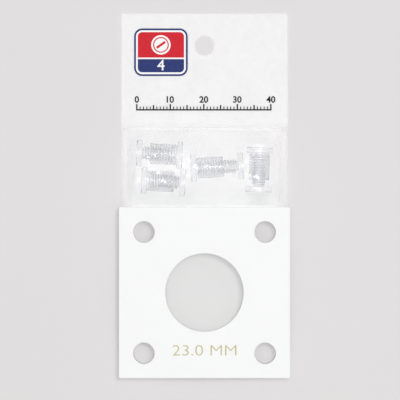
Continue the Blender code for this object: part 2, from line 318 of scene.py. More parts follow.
def cleaned(obj, weld_distance=WELD_DISTANCE, level=False):
    """Weld an object's doubled points, take out its empty faces and turn its faces the same way.

    With level, for flat shapes, the triangles are evened out too.
    """
    mesh = bmesh.new()
    mesh.from_mesh(obj.data)
    bmesh.ops.triangulate(mesh, faces=[face for face in mesh.faces if len(face.verts) > 4])
    bmesh.ops.remove_doubles(mesh, verts=mesh.verts, dist=weld_distance)
    if level:
        bmesh.ops.beautify_fill(mesh, faces=mesh.faces, edges=mesh.edges)
    bmesh.ops.dissolve_degenerate(mesh, edges=mesh.edges, dist=WELD_DISTANCE)
    bmesh.ops.recalc_face_normals(mesh, faces=mesh.faces)
    mesh.to_mesh(obj.data)
    mesh.free()
    return obj


def shaded(obj, sharp_angle):
    """Shade an object smooth, apart from edges that bend more than this."""
    obj.data.shade_smooth()
    obj.data.set_sharp_from_angle(angle=sharp_angle)
    return obj


def thicken(obj, thickness):
    """Give a sheet its thickness, on the side that its faces look to."""
    skin = obj.modifiers.new("thickness", "SOLIDIFY")
    skin.thickness = thickness
    skin.offset = 1.0
    return shaded(settle(obj), SHEET_SHARP_ANGLE)


# Node materials.
class Finish:
    """A node material being put together."""

    def __init__(self, name):
        self.material = bpy.data.materials.new(name)
        self.material.use_nodes = True
        self.tree = self.material.node_tree
        self.shader = self.tree.nodes["Principled BSDF"]
        self.output = self.tree.nodes["Material Output"]

    def set(self, **values):
        for name, value in values.items():
            self.shader.inputs[name.replace("_", " ")].default_value = value

    def add(self, kind, values=None, **settings):
        """A new node, with values for its inputs and settings of its own."""
        node = self.tree.nodes.new("ShaderNode" + kind)
        for name, value in settings.items():
            setattr(node, name, value)
        for name, value in (values or {}).items():
            node.inputs[name].default_value = value
        return node

    def join(self, source, target):
        self.tree.links.new(source, target)

    def feed(self, name, source):
        """Join another node's output to one of the shader's inputs."""
        self.join(source, self.shader.inputs[name])

    def place(self, stretch=(1.0, 1.0, 1.0)):
        """Where a point is on the piece, in metres, stretched along each axis."""
        where = self.add("TexCoord")
        scaled = self.add("Mapping", {"Scale": stretch})
        self.join(where.outputs["Object"], scaled.inputs["Vector"])
        return scaled.outputs["Vector"]

    def noise(self, scale, detail=3.0, stretch=(1.0, 1.0, 1.0)):
        """Cloudy noise from 0 to 1, with about this many clouds in a metre."""
        grain = self.add("TexNoise", {"Scale": scale, "Detail": detail, "Roughness": NOISE_ROUGHNESS})
        self.join(self.place(stretch), grain.inputs["Vector"])
        return grain.outputs["Fac"]

    def between(self, value, low, high, start=0.3, end=0.7):
        """The value's span from start to end, spread from low to high."""
        spread = self.add("MapRange", {"From Min": start, "From Max": end, "To Min": low, "To Max": high})
        self.join(value, spread.inputs["Value"])
        return spread.outputs["Result"]

    def math(self, operation, first, second):
        """Arithmetic on two values, each a number or another node's output."""
        node = self.add("Math", operation=operation)
        for socket, value in zip(node.inputs, (first, second)):
            if isinstance(value, (int, float)):
                socket.default_value = value
            else:
                self.join(value, socket)
        return node.outputs[0]

    def blend(self, share, first, second):
        """A colour between two colours."""
        mixed = self.add("Mix", data_type="RGBA")
        self.join(share, mixed.inputs["Factor"])
        for socket, colour in zip([s for s in mixed.inputs if s.type == "RGBA"], (first, second)):
            socket.default_value = (*colour, 1.0)
        return [s for s in mixed.outputs if s.type == "RGBA"][0]

    def bump(self, height, strength, distance):
        """Make the surface look as uneven as height, up to distance."""
        rough = self.add("Bump", {"Strength": strength, "Distance": distance})
        self.join(height, rough.inputs["Height"])
        self.feed("Normal", rough.outputs["Normal"])

    def fade(self, split, axis, start, end, share):
        """1 up to start along an axis, on both sides of the origin, then going over to share at end."""
        away = self.math("ABSOLUTE", split.outputs[axis], 0.0)
        return self.between(away, 1.0, share, start, end)

    def upright(self):
        """1 on faces that stand up, such as sawn edges and drilled walls, and 0 on level faces."""
        shape = self.add("NewGeometry")
        split = self.add("SeparateXYZ")
        self.join(shape.outputs["Normal"], split.inputs["Vector"])
        lean = self.math("ABSOLUTE", split.outputs["Z"], 0.0)
        return self.between(lean, 1.0, 0.0, start=0.25, end=0.6)

    def lit_through(self, tint):
        """Glass to the eye, but light from lamps and from other surfaces passes straight, with a tint."""
        path = self.add("LightPath")
        clear = self.add("BsdfTransparent", {"Color": (*tint, 1.0)})
        seen = self.shader.outputs[0]
        for kind in ("Is Diffuse Ray", "Is Shadow Ray"):
            mixed = self.add("MixShader")
            self.join(path.outputs[kind], mixed.inputs[0])
            self.join(seen, mixed.inputs[1])
            self.join(clear.outputs[0], mixed.inputs[2])
            seen = mixed.outputs[0]
        self.join(seen, self.output.inputs["Surface"])

    def see_through(self, solid, passed):
        """Mix the surface with clear air: solid is its share, of which lamps' rays skip passed."""
        path = self.add("LightPath")
        skipped = self.math("MULTIPLY", path.outputs["Is Shadow Ray"], passed)
        share = self.math("MULTIPLY", solid, self.math("SUBTRACT", 1.0, skipped))
        clear = self.add("BsdfTransparent")
        mixed = self.add("MixShader")
        self.join(share, mixed.inputs[0])
        self.join(clear.outputs[0], mixed.inputs[1])
        self.join(self.shader.outputs[0], mixed.inputs[2])
        self.join(mixed.outputs[0], self.output.inputs["Surface"])


def clear_sheet_finish():
    """Polished clear acrylic sheet."""
    made = Finish("clear_acrylic_sheet")
    made.set(Base_Color=(0.993, 0.996, 0.995, 1.0), Transmission_Weight=1.0, IOR=ACRYLIC_IOR)
    made.feed("Roughness", made.between(made.noise(420.0), 0.012, 0.035))
    made.lit_through((0.998, 0.999, 0.999))
    return made.material


def sawn_edge_finish():
    """The sheet's sawn edges and drilled holes: finely ridged, and frosted white."""
    made = Finish("clear_acrylic_sawn_edge")
    made.set(Transmission_Weight=0.35, IOR=ACRYLIC_IOR)
    ridges = made.noise(SAW_GRAIN, detail=2.0, stretch=SAW_STRETCH)
    made.feed("Base Color", made.blend(ridges, (0.86, 0.89, 0.885), (0.95, 0.965, 0.962)))
    made.feed("Roughness", made.between(ridges, 0.22, 0.42))
    made.bump(ridges, strength=0.3, distance=0.04 * MM)
    made.lit_through((0.98, 0.99, 0.99))
    return made.material


def clear_moulding_finish():
    """Clear moulded plastic, a little wavy, for the screws and posts."""
    made = Finish("clear_acrylic_moulding")
    made.set(Base_Color=(0.885, 0.89, 0.912, 1.0), Transmission_Weight=1.0, IOR=ACRYLIC_IOR)
    made.feed("Roughness", made.between(made.noise(900.0), 0.06, 0.12))
    made.bump(made.noise(620.0, detail=2.0), strength=0.16, distance=0.08 * MM)
    made.lit_through((0.99, 0.99, 0.99))
    return made.material


def white_sheet_finish():
    """Opaque white acrylic sheet, satin with faint scuffs, and sawn edges."""
    made = Finish("white_acrylic_sheet")
    made.set(IOR=ACRYLIC_IOR, Specular_IOR_Level=0.2)
    cloud = made.noise(160.0, detail=4.0)
    made.feed("Base Color", made.blend(cloud, (0.88, 0.88, 0.879), (0.898, 0.898, 0.896)))
    scuffs = made.noise(1900.0, stretch=(1.0, 0.12, 1.0))
    cut = made.upright()
    satin = made.between(scuffs, 0.42, 0.52)
    made.feed("Roughness", made.math("ADD", satin, made.math("MULTIPLY", cut, 0.2)))
    saw = made.noise(SAW_GRAIN, detail=2.0, stretch=SAW_STRETCH)
    texture = made.math("ADD", made.math("MULTIPLY", saw, cut), made.math("MULTIPLY", scuffs, 0.15))
    made.bump(texture, strength=0.3, distance=0.03 * MM)
    return made.material


def film_finish(name, colour, haze, rough, shine, passed, aslant, thin=(), dull=()):
    """Thin plastic film: mostly see-through, with a white haze that changes where it is seen aslant.

    Each of thin is (axis, start, end, share), where the haze fades to this share of itself. With dull
    the film has a glossy coat, and each of dull is (axis, start, end), where the coat fades away.
    """
    made = Finish(name)
    made.set(IOR=1.5, Specular_IOR_Level=shine)
    cloud = made.noise(130.0, detail=4.0)
    made.feed("Base Color", made.blend(cloud, tuple(c * FILM_SHADE for c in colour), colour))
    made.bump(made.noise(520.0, detail=4.0), strength=0.22, distance=0.12 * MM)
    slant = made.add("LayerWeight", {"Blend": SLANT_BLEND})
    change = made.math("ADD", made.math("MULTIPLY", slant.outputs["Facing"], aslant), 1.0)
    thinnest, thickest = (haze * share for share in HAZE_SPREAD)
    solid = made.math("MULTIPLY", made.between(cloud, thinnest, thickest), change)
    split = made.add("SeparateXYZ")
    made.join(made.place(), split.inputs["Vector"])
    for ending in thin:
        solid = made.math("MULTIPLY", solid, made.fade(split, *ending))
    smoothest, roughest = (rough * share for share in ROUGHNESS_SPREAD)
    made.feed("Roughness", made.between(made.noise(700.0), smoothest, roughest))
    if dull:
        made.set(Coat_IOR=COAT_IOR, Coat_Roughness=COAT_ROUGHNESS)
        gloss = made.between(cloud, *COAT_WEIGHT)
        for ending in dull:
            gloss = made.math("MULTIPLY", gloss, made.fade(split, *ending, 0.0))
        made.feed("Coat Weight", gloss)
    made.see_through(solid, passed)
    return made.material


def ink_finish(name, colour):
    """Printing ink on film, a little uneven."""
    made = Finish(name)
    made.set(IOR=1.45, Specular_IOR_Level=0.1)
    mottle = made.noise(1400.0, detail=4.0)
    paler = tuple(c * 0.95 + 0.03 for c in colour)
    share = made.between(mottle, 0.0, 0.45, start=0.45, end=0.75)
    made.feed("Base Color", made.blend(share, colour, paler))
    made.feed("Roughness", made.between(mottle, 0.5, 0.62))
    return made.material


def foil_finish():
    """Hot-stamped gold foil, dulled and slightly worn."""
    made = Finish("gold_foil")
    made.set(Metallic=0.1, Specular_IOR_Level=0.15)
    wear = made.noise(2600.0, detail=4.0)
    worn = made.between(wear, 0.0, 1.0, start=0.52, end=0.75)
    made.feed("Base Color", made.blend(worn, (0.5, 0.44, 0.2), (0.66, 0.62, 0.4)))
    made.feed("Roughness", made.between(wear, 0.5, 0.62))
    made.bump(wear, strength=0.2, distance=0.02 * MM)
    return made.material


def floor_finish():
    """A plain pale floor, very slightly cloudy."""
    made = Finish("pale_floor")
    made.set(Roughness=0.85, Specular_IOR_Level=0.15)
    made.feed("Base Color", made.blend(made.noise(30.0), (0.711, 0.697, 0.697), (0.725, 0.711, 0.711)))
    return made.material


# The plates.
def plate(name, loops, face_finish, edge_finish):
    """A plate in place of a node of that name: the first loop is its outline, the rest are holes."""
    low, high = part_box(name)
    curve = bpy.data.curves.new(name + "_outline", "CURVE")
    curve.dimensions = "2D"
    curve.fill_mode = "BOTH"
    curve.extrude = (high.z - low.z) / 2 - PLATE_EDGE_RADIUS
    curve.bevel_depth = PLATE_EDGE_RADIUS
    curve.bevel_resolution = PLATE_EDGE_STEPS
    curve.offset = -PLATE_EDGE_RADIUS
    for loop in loops:
        spline = curve.splines.new("POLY")
        spline.points.add(len(loop) - 1)
        spline.use_cyclic_u = True
        for point, (x, y) in zip(spline.points, loop):
            point.co = (x, y, 0.0, 1.0)
    obj = link(bpy.data.objects.new(name + "_sheet", curve))
    obj.location = (0.0, 0.0, (low.z + high.z) / 2)
    obj = settle(obj)
    weld = obj.modifiers.new("weld", "WELD")
    weld.merge_threshold = WELD_DISTANCE
    obj = settle(obj)
    obj.data.shade_smooth()
    obj.modifiers.new("flat_faces", "WEIGHTED_NORMAL").weight = FLAT_FACE_WEIGHT
    obj = settle(obj)
    obj.data.transform(obj.matrix_world)
    obj.matrix_world = Matrix.Identity(4)
    obj.data.materials.append(face_finish)
    obj.data.materials.append(edge_finish)
    for face in obj.data.polygons:
        face.material_index = 0 if abs(face.normal.z) > LEVEL_NORMAL else 1
    return obj


def build_plates():
    """The two clear covers and the white plate between them."""
    clear = (clear_sheet_finish(), sawn_edge_finish())
    white = (white_sheet_finish(),) * 2
    low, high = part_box("centre_plate")
    side = high.x - low.x
    reach = SCREW_HOLE_SPACING / 2
    outline = rounded_rectangle(side, side, PLATE_CORNER_RADIUS)
    corners = [(x, y) for x in (-reach, reach) for y in (-reach, reach)]
    screw_holes = [circle(SCREW_HOLE_DIAMETER / 2, SCREW_HOLE_SIDES, corner) for corner in corners]
    coin_hole = circle(COIN_HOLE_DIAMETER / 2, COIN_HOLE_SIDES)
    for name, extra, finishes in (
        ("back_cover", [], clear), ("centre_plate", [coin_hole], white), ("front_cover", [], clear)
    ):
        made = plate(name, [outline, *screw_holes, *extra], *finishes)
        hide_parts(name)
        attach(made, name)


def text_mesh(name, words, height, middle, finish, thinning, width=None):
    """Flat lettering centred on middle, at level 0. Its strokes are fattened if thinning is below 0."""
    curve = bpy.data.curves.new(name, "FONT")
    curve.body = words
    curve.align_x = "CENTER"
    curve.fill_mode = "FRONT"
    curve.resolution_u = LETTER_STEPS
    curve.offset = -thinning
    curve.materials.append(finish)
    obj = settle(link(bpy.data.objects.new(name, curve)))
    places = np.array([v.co for v in obj.data.vertices])
    low, high = places.min(0), places.max(0)
    scale_y = height / (high[1] - low[1])
    scale_x = scale_y if width is None else width / (high[0] - low[0])
    centre = (low + high) / 2
    for vertex in obj.data.vertices:
        vertex.co.x = (vertex.co.x - centre[0]) * scale_x + middle[0]
        vertex.co.y = (vertex.co.y - centre[1]) * scale_y + middle[1]
        vertex.co.z = 0.0
    return cleaned(obj, LETTER_WELD_DISTANCE, level=True)


def build_mark():
    """The gold size mark, stamped on the white plate below the coin opening."""
    foil = foil_finish()
    made = text_mesh("size_mark", MARK_TEXT, MARK_HEIGHT, MARK_MIDDLE, foil, MARK_THINNING, MARK_WIDTH)
    made.location.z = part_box("centre_plate")[1].z + MARK_LIFT
    made = thicken(made, MARK_THICKNESS)
    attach(made, "centre_plate")


# The screws and posts.
class ScrewSet:
    """A screw and its post as the construction places them, with the post's travel."""

    def __init__(self, number):
        joints = {joint["name"]: joint for joint in frame["joints"]}
        turn = joints[f"screw_{number}_turn"]
        travel = joints[f"post_{number}_travel"]
        self.number = number
        self.head = Vector(turn["pos_m"])
        self.axis = Vector(turn["axis"]).normalized()
        self.tip = self.levels(f"screw_{number}")[1]
        self.mouth, self.end = self.levels(f"post_{number}")
        self.outward, self.inward = -travel["range_m"][0], travel["range_m"][1]
        self.head_radius = self.head.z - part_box(f"screw_{number}")[0].z
        self.barrel_radius = SCREW_HOLE_DIAMETER / 2 - BARREL_CLEARANCE

    def levels(self, node):
        """Where a node starts and ends along the axis."""
        along = [(v.co - self.head).dot(self.axis) for v in frame["nodes"][node].data.vertices]
        return min(along), max(along)

    def matrix(self):
        """Local Z along the axis, from the screw head's outer face, and local X straight up."""
        up = Vector((0.0, 0.0, 1.0))
        across = self.axis.cross(up)
        turned = Matrix((up, across, self.axis)).transposed().to_4x4()
        return Matrix.Translation(self.head) @ turned


def arc(radius, level, size, start, end, steps=5):
    """Profile points (radius, level) round an edge, between two angles in degrees."""
    angles = [math.radians(start + (end - start) * i / steps) for i in range(steps + 1)]
    return [(radius + size * math.cos(a), level + size * math.sin(a)) for a in angles]


def thread_shape(levels):
    """How far out a thread stands, from 0 at its root to 1 on its flat crest, for rings at these levels."""
    angles = np.arange(TURNED_SIDES) / TURNED_SIDES
    turns = levels[:, None] / THREAD_PITCH - angles[None, :]
    wave = THREAD_SWING - THREAD_SWING * np.cos(2 * math.pi * turns)
    return np.minimum(wave, 1.0)


def thread_fade(levels):
    """1 along a thread, going down to 0 at both of its ends, for rings at these levels."""
    run_in = ease((levels - levels[0]) / THREAD_FADE)
    run_out = ease((levels[-1] - levels) / THREAD_FADE)
    return (run_in * run_out)[:, None]


def turned(name, rings, finish):
    """A closed turned shape through rings of (level, radii), with a fan at each end."""
    angles = 2 * math.pi * np.arange(TURNED_SIDES) / TURNED_SIDES
    points = []
    faces = []
    for level, radii in rings:
        radii = np.broadcast_to(radii, TURNED_SIDES)
        points += list(zip(radii * np.cos(angles), radii * np.sin(angles), np.full(TURNED_SIDES, level)))
    for row in range(len(rings) - 1):
        base = row * TURNED_SIDES
        for i in range(TURNED_SIDES):
            j = (i + 1) % TURNED_SIDES
            faces.append((base + i, base + j, base + TURNED_SIDES + j, base + TURNED_SIDES + i))
    last = (len(rings) - 1) * TURNED_SIDES
    for ring_start, level in ((0, rings[0][0]), (last, rings[-1][0])):
        points.append((0.0, 0.0, level))
        for i in range(TURNED_SIDES):
            faces.append((ring_start + i, ring_start + (i + 1) % TURNED_SIDES, len(points) - 1))
    return shaded(cleaned(mesh_object(name, points, faces, finish)), TURNED_SHARP_ANGLE)


def thread_levels(start, end):
    count = round((end - start) / THREAD_PITCH * RINGS_PER_PITCH)
    return np.linspace(start, end, count + 1)


def slotted(obj):
    """Cut the driver slot across the outer face."""
    mesh = bmesh.new()
    size = Matrix.Diagonal((SLOT_BAR_LENGTH, SLOT_WIDTH, 2 * SLOT_DEPTH, 1.0))
    bmesh.ops.create_cube(mesh, size=1.0, matrix=size)
    data = bpy.data.meshes.new("slot_bar")
    mesh.to_mesh(data)
    mesh.free()
    bar = link(bpy.data.objects.new("slot_bar", data))
    cut = obj.modifiers.new("slot", "BOOLEAN")
    cut.operation = "DIFFERENCE"
    cut.object = bar
    made = cleaned(settle(obj))
    bpy.data.objects.remove(bar)
    return shaded(made, TURNED_SHARP_ANGLE)


def build_screw(one, finish):
    """A screw: its slotted head, its neck, its thread and its tip."""
    root = CREST_RADIUS - THREAD_DEPTH
    face = arc(one.head_radius - HEAD_EDGE, HEAD_EDGE, HEAD_EDGE, -90, 0)
    back = arc(one.head_radius - HEAD_BACK_EDGE, HEAD_THICKNESS - HEAD_BACK_EDGE, HEAD_BACK_EDGE, 0, 90, 3)
    neck = arc(root + NECK_FILLET, HEAD_THICKNESS + NECK_FILLET, NECK_FILLET, -90, -180, 3)
    tip = arc(root - TIP_EDGE, one.tip - TIP_EDGE, TIP_EDGE, 0, 90, 4)
    levels = thread_levels(neck[-1][1] + THREAD_INSET, tip[0][1] - THREAD_INSET)
    radii = root + THREAD_DEPTH * (thread_shape(levels) * thread_fade(levels))
    rings = [(level, radius) for radius, level in (*face, *back, *neck)]
    rings += list(zip(levels, radii))
    rings += [(level, radius) for radius, level in tip]
    made = slotted(turned(f"clear_screw_{one.number}", rings, finish))
    made.matrix_world = one.matrix()
    return made


def build_post(one, finish):
    """A post, from the bottom of its threaded bore out through the mouth and back to its head."""
    groove = CREST_RADIUS + THREAD_CLEARANCE
    shoulder = one.end - HEAD_THICKNESS
    bottom = one.mouth + BORE_DEPTH
    levels = thread_levels(one.mouth + MOUTH_CHAMFER + THREAD_INSET, bottom - BORE_RUN_OUT)
    ridge = THREAD_DEPTH * thread_fade(levels) * (1 - thread_shape(levels))
    bore = list(zip(levels, groove - ridge))[::-1]
    outside = [(groove, one.mouth + MOUTH_CHAMFER), (groove + MOUTH_CHAMFER, one.mouth)]
    edge = MOUTH_EDGE
    outside += arc(one.barrel_radius - edge, one.mouth + edge, edge, -90, 0, 3)
    outside += arc(one.barrel_radius + NECK_FILLET, shoulder - NECK_FILLET, NECK_FILLET, 180, 90, 3)
    edge = HEAD_BACK_EDGE
    outside += arc(one.head_radius - edge, shoulder + edge, edge, -90, 0, 3)
    outside += arc(one.head_radius - HEAD_EDGE, one.end - HEAD_EDGE, HEAD_EDGE, 0, 90)
    rings = [(bottom - rise, groove * share) for rise, share in BORE_BOTTOM]
    rings += bore
    rings += [(level, radius) for radius, level in outside]
    made = turned(f"clear_post_{one.number}", rings, finish)
    made.matrix_world = one.matrix()
    return made


def build_screw_sets(sets):
    finish = clear_moulding_finish()
    for one in sets:
        for made, node in (
            (build_screw(one, finish), f"screw_{one.number}"), (build_post(one, finish), f"post_{one.number}")
        ):
            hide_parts(node)
            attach(made, node)


# The bag's films.
class Pouch:
    """The places that the films share: where they are sealed, and where they lie."""

    def __init__(self):
        low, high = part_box("bag_front_film")
        self.edge = high.x
        self.seal = high.x - SIDE_SEAL
        self.bottom, self.top = low.y, high.y
        self.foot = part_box("centre_plate")[1].y + FILM_SLACK
        self.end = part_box("bag_header")[0].y - FILM_SLACK
        self.flap_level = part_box("bag_back_film")[1].z - FILM_THICKNESS
        count_x = round(2 * self.edge / FILM_CELL)
        count_y = round((self.top - self.bottom) / FILM_CELL)
        columns = np.linspace(-self.edge, self.edge, count_x + 1)
        rows = np.linspace(self.bottom, self.top, count_y + 1)
        self.x, self.y = np.meshgrid(columns, rows)

    def seam(self):
        """How high the back film is held: level in the flap between the plates, then down to the table."""
        down = np.clip((self.end - self.y) / (self.end - self.foot), 0.0, 1.0)
        return self.flap_level * down * down * (1 + SEAM_BEND - SEAM_BEND * down)

    def free(self):
        """Where the films are loose, inside their seals."""
        return (abs(self.x) < self.seal) & (self.y > self.foot) & (self.y < self.end)

    def inside(self, width):
        """0 at the seals and 1 further inside than width."""
        side = ease((self.seal - abs(self.x)) / width)
        low = ease((self.y - self.foot) / width)
        high = ease((self.end - self.y) / width)
        return side * low * high

    def seal_ribs(self):
        """Fine crosswise ribs in the welded side seams."""
        on_seam = ease((abs(self.x) - self.seal - SEAL_RIB_INSET) / SEAL_RIB_INSET)
        clear_of_plates = ease((self.y - self.foot) / SEAL_RIB_FADE)
        wave = 0.5 + 0.5 * np.sin(2 * math.pi * self.y / SEAL_RIB_PITCH)
        return SEAL_RIB_HEIGHT * wave * on_seam * clear_of_plates


def rippled(x, y, kind):
    """Soft random ripples of a kind, about zero and up to about 1 high, the same on each run."""
    draws = np.random.default_rng(kind.seed)
    total = np.zeros_like(x)
    for _ in range(kind.count):
        turn = draws.uniform(0, 2 * math.pi)
        stretch = draws.uniform(*RIPPLE_STRETCH)
        shift = draws.uniform(0, 2 * math.pi)
        along = x * math.cos(turn) + y * math.sin(turn)
        total += np.sin(2 * math.pi * along / (kind.wavelength * stretch) + shift)
    return total / math.sqrt(kind.count)


def reach_of(pouch, one, clearance):
    """How far up and down one screw set comes from its axis, anywhere in its travel, and 0 beside it."""
    dx = pouch.x - one.head.x
    dy = pouch.y - one.head.y
    along = dx * one.axis.x + dy * one.axis.y
    across = dy * one.axis.x - dx * one.axis.y
    shoulder = one.end - HEAD_THICKNESS
    spans = (
        (0.0, HEAD_THICKNESS, one.head_radius),
        (HEAD_THICKNESS, shoulder, one.barrel_radius),
        (shoulder - one.inward, one.end + one.outward, one.head_radius),
    )
    reach = np.zeros_like(pouch.x)
    for start, end, radius in spans:
        radius = radius + clearance
        over = (along > start - clearance) & (along < end + clearance)
        half = np.sqrt(np.maximum(radius**2 - across**2, 0.0))
        reach = np.where(over, np.maximum(reach, half), reach)
    return reach


def pulled_taut(level, low, high, held, sag, rounds):
    """Let a film go slack between what holds it, above low and below high, like a soap film."""
    for _ in range(rounds):
        around = level[:-2, 1:-1] + level[2:, 1:-1] + level[1:-1, :-2] + level[1:-1, 2:]
        inner = np.clip(around / 4 - sag, low[1:-1, 1:-1], high[1:-1, 1:-1])
        level[1:-1, 1:-1] = np.where(held[1:-1, 1:-1], level[1:-1, 1:-1], inner)
    return level


def under_screws(pouch, sets):
    """The back film's underside: held at its seams, and lying on the table under the screws."""
    seam = pouch.seam()
    ceiling = np.full_like(seam, pouch.flap_level)
    for one in sets:
        reach = reach_of(pouch, one, FLOOR_CLEARANCE)
        ceiling = np.where(reach > 0, np.minimum(ceiling, one.head.z - reach - FILM_THICKNESS), ceiling)
    ceiling = np.maximum(ceiling, 0.0)
    level = np.where(pouch.free(), np.minimum(seam, ceiling), seam)
    return pulled_taut(level, np.zeros_like(seam), ceiling, ~pouch.free(), BACK_SAG, BACK_ROUNDS)


def over_screws(pouch, sets, back):
    """The front film's underside, pulled taut over the screws, and the lowest it may lie."""
    lowest = back + FILM_THICKNESS + SEAL_GAP
    for one in sets:
        reach = reach_of(pouch, one, FILM_CLEARANCE)
        lowest = np.where(reach > 0, np.maximum(lowest, one.head.z + reach), lowest)
    top = np.full_like(lowest, lowest.max() + FILM_CLEARANCE)
    level = np.where(pouch.free(), lowest + (top - lowest) * pouch.inside(FRONT_START_WIDTH), lowest)
    return pulled_taut(level, lowest, top, ~pouch.free(), FRONT_SAG, FRONT_ROUNDS), lowest


def near_screws(pouch, sets):
    """1 over the screw sets, fading to 0 a few millimetres away from them."""
    covered = [reach_of(pouch, one, CRUMPLE_REACH) > 0 for one in sets]
    nowhere = np.zeros_like(pouch.x)
    return softened(np.any(covered, axis=0).astype(float), nowhere, CRUMPLE_SMOOTHING)


def wrinkles(pouch, sets):
    """Loose ripples, crumples over the screws, and pull lines that fan out from the heads at both ends."""
    total = FINE_RIPPLES.height * rippled(pouch.x, pouch.y, FINE_RIPPLES)
    total += LOOSE_RIPPLES.height * rippled(pouch.x, pouch.y, LOOSE_RIPPLES)
    total += CRUMPLES.height * rippled(pouch.x, pouch.y, CRUMPLES) * near_screws(pouch, sets)
    draws = np.random.default_rng(FAN_SEED)
    for one in sets:
        for level in (FAN_INSET, one.end - FAN_INSET):
            centre = one.head + one.axis * level
            dx = pouch.x - centre.x
            dy = pouch.y - centre.y
            distance = np.hypot(dx, dy)
            turn = np.arctan2(dy, dx)
            count = draws.integers(*FAN_COUNTS)
            shift = draws.uniform(0, 2 * math.pi)
            uneven = 0.6 * np.sin(2 * turn + draws.uniform(0, FAN_TURN)) + 0.4 * np.sin(3 * turn + shift)
            fan = np.sin(count * turn + FAN_SWAY * uneven + shift)
            ridge = 1 - FAN_DEPTH * abs(fan) ** FAN_SHARPNESS
            grow = ease((distance - FAN_START) / FAN_GROWTH)
            fade = np.exp(-((np.maximum(distance - FAN_END, 0) / FAN_FADE) ** 2))
            total += FAN_HEIGHT * ridge * grow * fade * (0.6 + 0.4 * np.sin(turn + shift))
    return total


def softened(level, lowest, rounds):
    """A film without sharp kinks, still no lower than it may lie."""
    for _ in range(rounds):
        padded = np.pad(level, 1, mode="edge")
        around = padded[:-2, 1:-1] + padded[2:, 1:-1] + padded[1:-1, :-2] + padded[1:-1, 2:]
        level = np.maximum(level / 2 + around / 8, lowest)
    return level


def film_object(name, pouch, level, finish):
    rows, columns = level.shape
    points = np.stack([pouch.x.ravel(), pouch.y.ravel(), level.ravel()], axis=1)
    faces = []
    for row in range(rows - 1):
        start = row * columns
        faces += [(start + i, start + i + 1, start + columns + i + 1, start + columns + i)
                  for i in range(columns - 1)]
    return thicken(mesh_object(name, points.tolist(), faces, finish), FILM_THICKNESS)


def build_films(sets):
    """The bag's back film under the screws, and its clearer front film draped over them."""
    pouch = Pouch()
    seam = ("X", pouch.seal - SEAM_FADE, pouch.edge, SEAM_HAZE)
    weld = ("Y", *(pouch.end + shift for shift in WELD_FADE), WELD_HAZE)
    ends = (("X", pouch.seal), ("Y", pouch.end))
    dull = [(axis, *(place + shift for shift in COAT_FADE)) for axis, place in ends]
    clear = film_finish(
        "bag_film_front", (0.955, 0.958, 0.965), haze=0.2, rough=0.35, shine=0.5, passed=0.85, aslant=-0.35,
        thin=(seam, weld), dull=dull
    )
    hazy = film_finish(
        "bag_film_back", (0.945, 0.947, 0.952), haze=0.42, rough=0.4, shine=0.15, passed=0.5, aslant=1.5,
        thin=(seam, weld)
    )
    back = under_screws(pouch, sets)
    level, lowest = over_screws(pouch, sets, back)
    slack = (FRONT_SLACK + wrinkles(pouch, sets)) * pouch.inside(FRONT_SLACK_WIDTH)
    loose = softened(np.maximum(level + slack, lowest), lowest, FRONT_SMOOTHING) - lowest
    front = lowest + loose * pouch.inside(FRONT_SEAL_WIDTH) + pouch.seal_ribs()
    back = back + pouch.seal_ribs()
    for name, node, shape, finish in (
        ("front_film", "bag_front_film", front, clear), ("back_film", "bag_back_film", back, hazy)
    ):
        made = film_object(name, pouch, shape, finish)
        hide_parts(node)
        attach(made, "bag")


# The header and its print.
def header_level(x, y):
    """The header's underside: on the welded films at its foot, then settling to the table, a bit wavy."""
    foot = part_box("bag_header")[0]
    film_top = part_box("bag_front_film")[1].y
    off_weld = ease((y - film_top) / HEADER_SETTLE)
    base = foot.z + (HEADER_REST - foot.z) * off_weld
    wave = HEADER_WAVES.height * (1 + np.clip(rippled(x, y, HEADER_WAVES), -1.0, 1.0))
    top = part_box("bag_header")[1].y
    near_top = ease((y - top + HEADER_CURL_LENGTH) / HEADER_CURL_LENGTH)
    curl = HEADER_CURL * near_top * (abs(x) / foot.x) ** HEADER_CURL_POWER
    return base + (wave + curl) * off_weld


def inside_loops(loops, x, y):
    """Whether a point is inside an odd number of loops."""
    odd = False
    for loop in loops:
        for (x1, y1), (x2, y2) in zip(loop, loop[1:] + loop[:1]):
            if (y1 > y) != (y2 > y) and x < x1 + (y - y1) / (y2 - y1) * (x2 - x1):
                odd = not odd
    return odd


def dense(loop, step):
    """The same loop with points at most a step apart."""
    points = []
    for (x1, y1), (x2, y2) in zip(loop, loop[1:] + loop[:1]):
        count = max(1, math.ceil(math.hypot(x2 - x1, y2 - y1) / step))
        points += [(x1 + (x2 - x1) * i / count, y1 + (y2 - y1) * i / count) for i in range(count)]
    return points


def flat_triangles(loops, cell):
    """Points and triangles that fill the loops, with inner points about a cell apart."""
    loops = [dense(loop, cell) for loop in loops]
    points = []
    edges = []
    for loop in loops:
        start = len(points)
        points += [Vector(p) for p in loop]
        edges += [(start + i, start + (i + 1) % len(loop)) for i in range(len(loop))]
    xs = [p.x for p in points]
    ys = [p.y for p in points]
    border = list(points)
    for x in np.arange(min(xs) + cell / 2, max(xs), cell):
        for y in np.arange(min(ys) + cell / 2, max(ys), cell):
            near = any((p.x - x) ** 2 + (p.y - y) ** 2 < (BORDER_SPACE * cell) ** 2 for p in border)
            if not near and inside_loops(loops, x, y):
                points.append(Vector((x, y)))
    out = delaunay_2d_cdt(points, edges, [], 0, MERGE_DISTANCE)
    made = [(p.x, p.y) for p in out[0]]
    triangles = []
    for face in out[2]:
        middle = [sum(made[i][k] for i in face) / len(face) for k in (0, 1)]
        if inside_loops(loops, *middle):
            triangles.append(tuple(face))
    used = sorted({i for face in triangles for i in face})
    order = {old: new for new, old in enumerate(used)}
    return [made[i] for i in used], [tuple(order[i] for i in face) for face in triangles]


